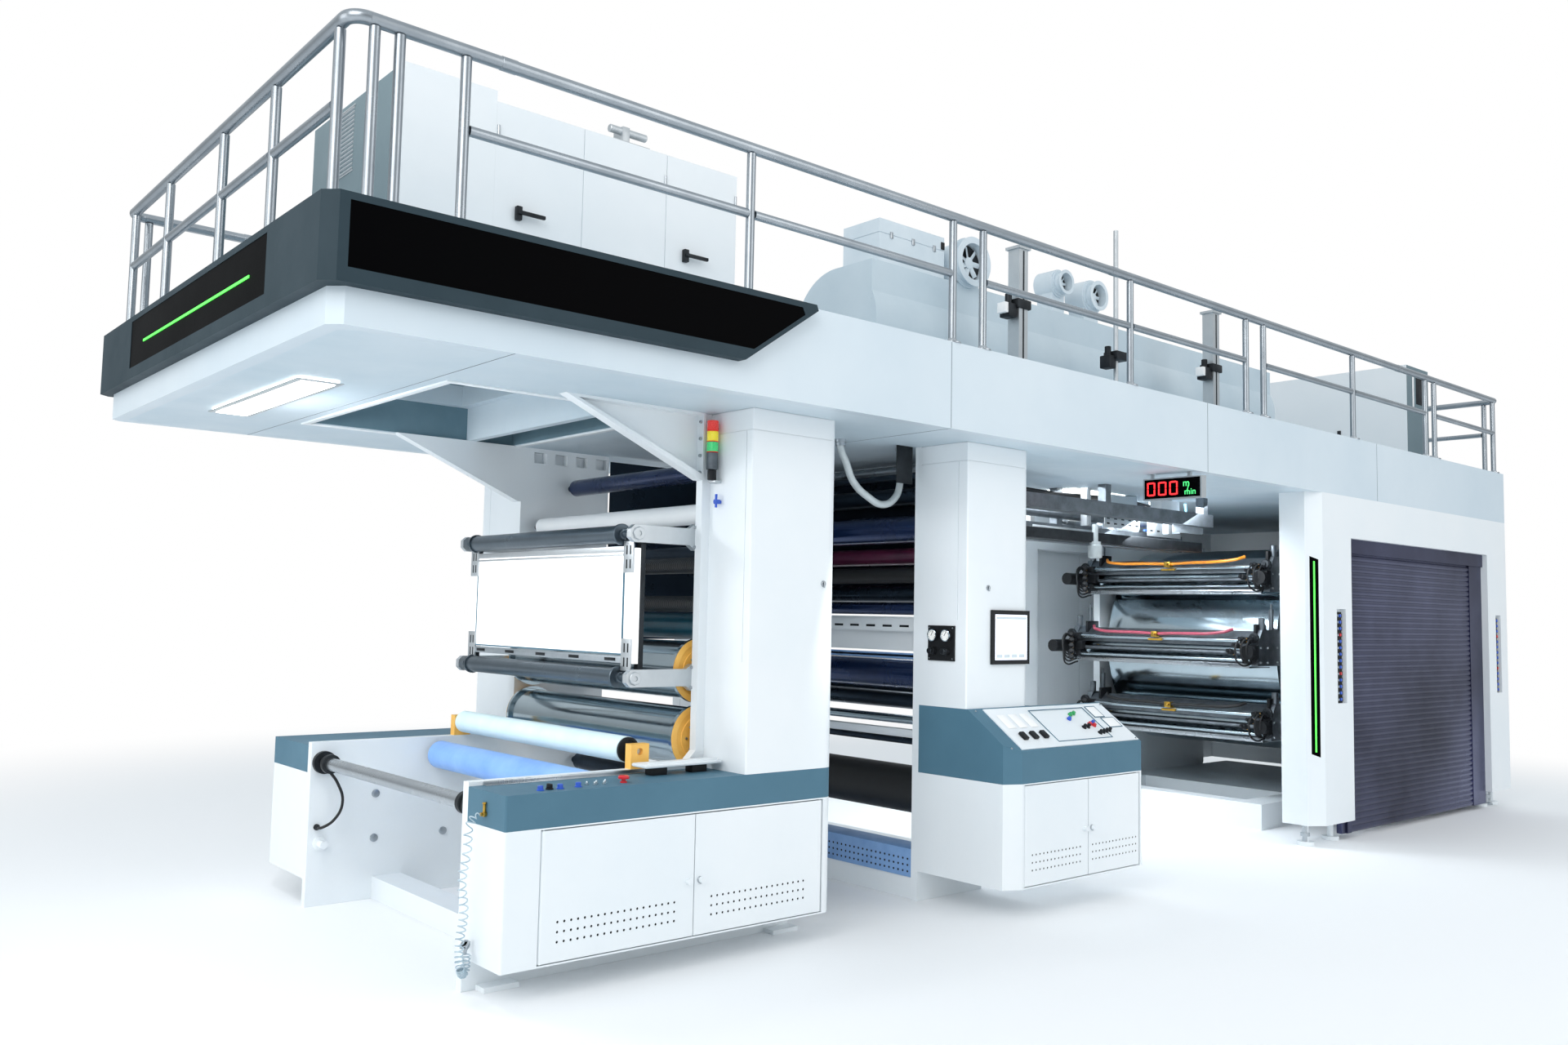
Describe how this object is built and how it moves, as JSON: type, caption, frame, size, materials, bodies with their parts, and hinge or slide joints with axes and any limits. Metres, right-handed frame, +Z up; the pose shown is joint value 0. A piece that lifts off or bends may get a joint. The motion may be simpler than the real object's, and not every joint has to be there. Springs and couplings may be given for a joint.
{
  "type": "flexographic printing press",
  "caption": "Bridge-type central-drum flexographic printing press with unwinder, console and raised service platform.",
  "frame": {"origin": "middle of the overall footprint at floor level", "axes": "+X along the web line from the unwinder to the printing unit, +Y from the operator side to the drive side, +Z up"},
  "size_m": [10.066, 3.071, 3.926],
  "materials": {
    "black_rubber": "matt",
    "blue_rubber": "matt",
    "bronze_slats": "satin",
    "chrome_roll": "polished",
    "dark_roll": "satin",
    "dark_steel": "satin",
    "gloss_black": "gloss",
    "green_light": "gloss",
    "light_panel": "matt",
    "ochre_paint": "satin",
    "pale_blue_rubber": "matt",
    "pale_grey_paint": "satin",
    "signal_lens": "gloss",
    "slate_paint": "satin",
    "stainless": "brushed",
    "white_paint": "satin"
  },
  "bodies": {
    "machine": {"platform_deck": "white_paint", "platform_fascia": "white_paint", "fascia_trim": "slate_paint", "trim_panels": "gloss_black", "led_lines": "green_light", "soffit_lights": "light_panel", "guard_rails": "stainless", "unwinder_frame_front": "white_paint", "unwinder_frame_rear": "white_paint", "gussets": "white_paint", "infeed_frames": "white_paint", "first_towers": "white_paint", "second_towers": "white_paint", "unwinder_cabinet": "white_paint", "counters": "slate_paint", "drive_cabinet": "white_paint", "cross_beams": "white_paint", "shaft_bearings": "dark_roll", "bearing_blocks": "ochre_paint", "roller_arms": "stainless", "inspection_panel": "light_panel", "web_idlers": "dark_roll", "console_body": "white_paint", "console_hood": "slate_paint", "console_panel": "white_paint", "touch_screen": "gloss_black", "gauge_panel": "gloss_black", "speed_display": "gloss_black", "stack_light": "signal_lens", "print_frames": "white_paint", "impression_drum": "chrome_roll", "plate_cylinders": "dark_roll", "anilox_rolls": "chrome_roll", "doctor_chambers": "dark_steel", "deck_cheeks": "dark_steel", "deck_drives": "dark_steel", "print_bed": "white_paint", "overhead_beams": "dark_roll", "portals": "white_paint", "roller_shutter": "bronze_slats", "rear_doors": "white_paint", "end_wall": "white_paint", "dryer_tunnel": "white_paint", "dryer_fans": "pale_grey_paint", "electrical_cabinets": "white_paint", "lift_columns": "stainless", "air_hose": "black_rubber", "black_cable": "black_rubber", "vent_hose": "stainless"},
    "unwinder_door_left": {"unwinder_door_left": "white_paint"},
    "unwinder_door_right": {"unwinder_door_right": "white_paint"},
    "console_door_left": {"console_door_left": "white_paint"},
    "console_door_right": {"console_door_right": "white_paint"},
    "unwind_shaft": {"unwind_shaft": "chrome_roll"},
    "lay_on_roller": {"lay_on_roller": "pale_blue_rubber"},
    "spreader_roller": {"spreader_roller": "blue_rubber"},
    "nip_roll_lower": {"nip_roll_lower": "chrome_roll"},
    "nip_roll_upper": {"nip_roll_upper": "chrome_roll"},
    "guide_roller_upper": {"guide_roller_upper": "dark_roll"},
    "guide_roller_lower": {"guide_roller_lower": "dark_roll"}
  },
  "joints": [
    {"name": "unwinder_door_left_hinge", "type": "hinge", "parent": "machine", "child": "unwinder_door_left", "pos_m": [-4.0015, -1.2035, 0.4], "axis": [0, 0, -1], "range_deg": [0, 100]},
    {"name": "unwinder_door_right_hinge", "type": "hinge", "parent": "machine", "child": "unwinder_door_right", "pos_m": [-2.5985, -1.2035, 0.4], "axis": [0, 0, 1], "range_deg": [0, 100]},
    {"name": "console_door_left_hinge", "type": "hinge", "parent": "machine", "child": "console_door_left", "pos_m": [-1.5115, -1.5045, 0.4], "axis": [0, 0, -1], "range_deg": [0, 100]},
    {"name": "console_door_right_hinge", "type": "hinge", "parent": "machine", "child": "console_door_right", "pos_m": [-0.5505, -1.5045, 0.4], "axis": [0, 0, 1], "range_deg": [0, 100]},
    {"name": "unwind_shaft_spin", "type": "hinge", "parent": "machine", "child": "unwind_shaft", "pos_m": [-4.1075, -0.0595, 0.692], "axis": [0, 1, 0], "continuous": true},
    {"name": "lay_on_roller_spin", "type": "hinge", "parent": "machine", "child": "lay_on_roller", "pos_m": [-3.3775, -0.0595, 0.862], "axis": [0, 1, 0], "continuous": true},
    {"name": "spreader_roller_spin", "type": "hinge", "parent": "machine", "child": "spreader_roller", "pos_m": [-3.5175, -0.0595, 0.7], "axis": [0, 1, 0], "continuous": true},
    {"name": "nip_roll_lower_spin", "type": "hinge", "parent": "machine", "child": "nip_roll_lower", "pos_m": [-3.0025, -0.0595, 0.895], "axis": [0, 1, 0], "continuous": true},
    {"name": "nip_roll_upper_spin", "type": "hinge", "parent": "machine", "child": "nip_roll_upper", "pos_m": [-3.0025, -0.0595, 1.197], "axis": [0, 1, 0], "continuous": true},
    {"name": "guide_roller_upper_spin", "type": "hinge", "parent": "machine", "child": "guide_roller_upper", "pos_m": [-3.3875, -0.0595, 1.8], "axis": [0, 1, 0], "continuous": true},
    {"name": "guide_roller_lower_spin", "type": "hinge", "parent": "machine", "child": "guide_roller_lower", "pos_m": [-3.3875, -0.0595, 1.17], "axis": [0, 1, 0], "continuous": true}
  ]
}
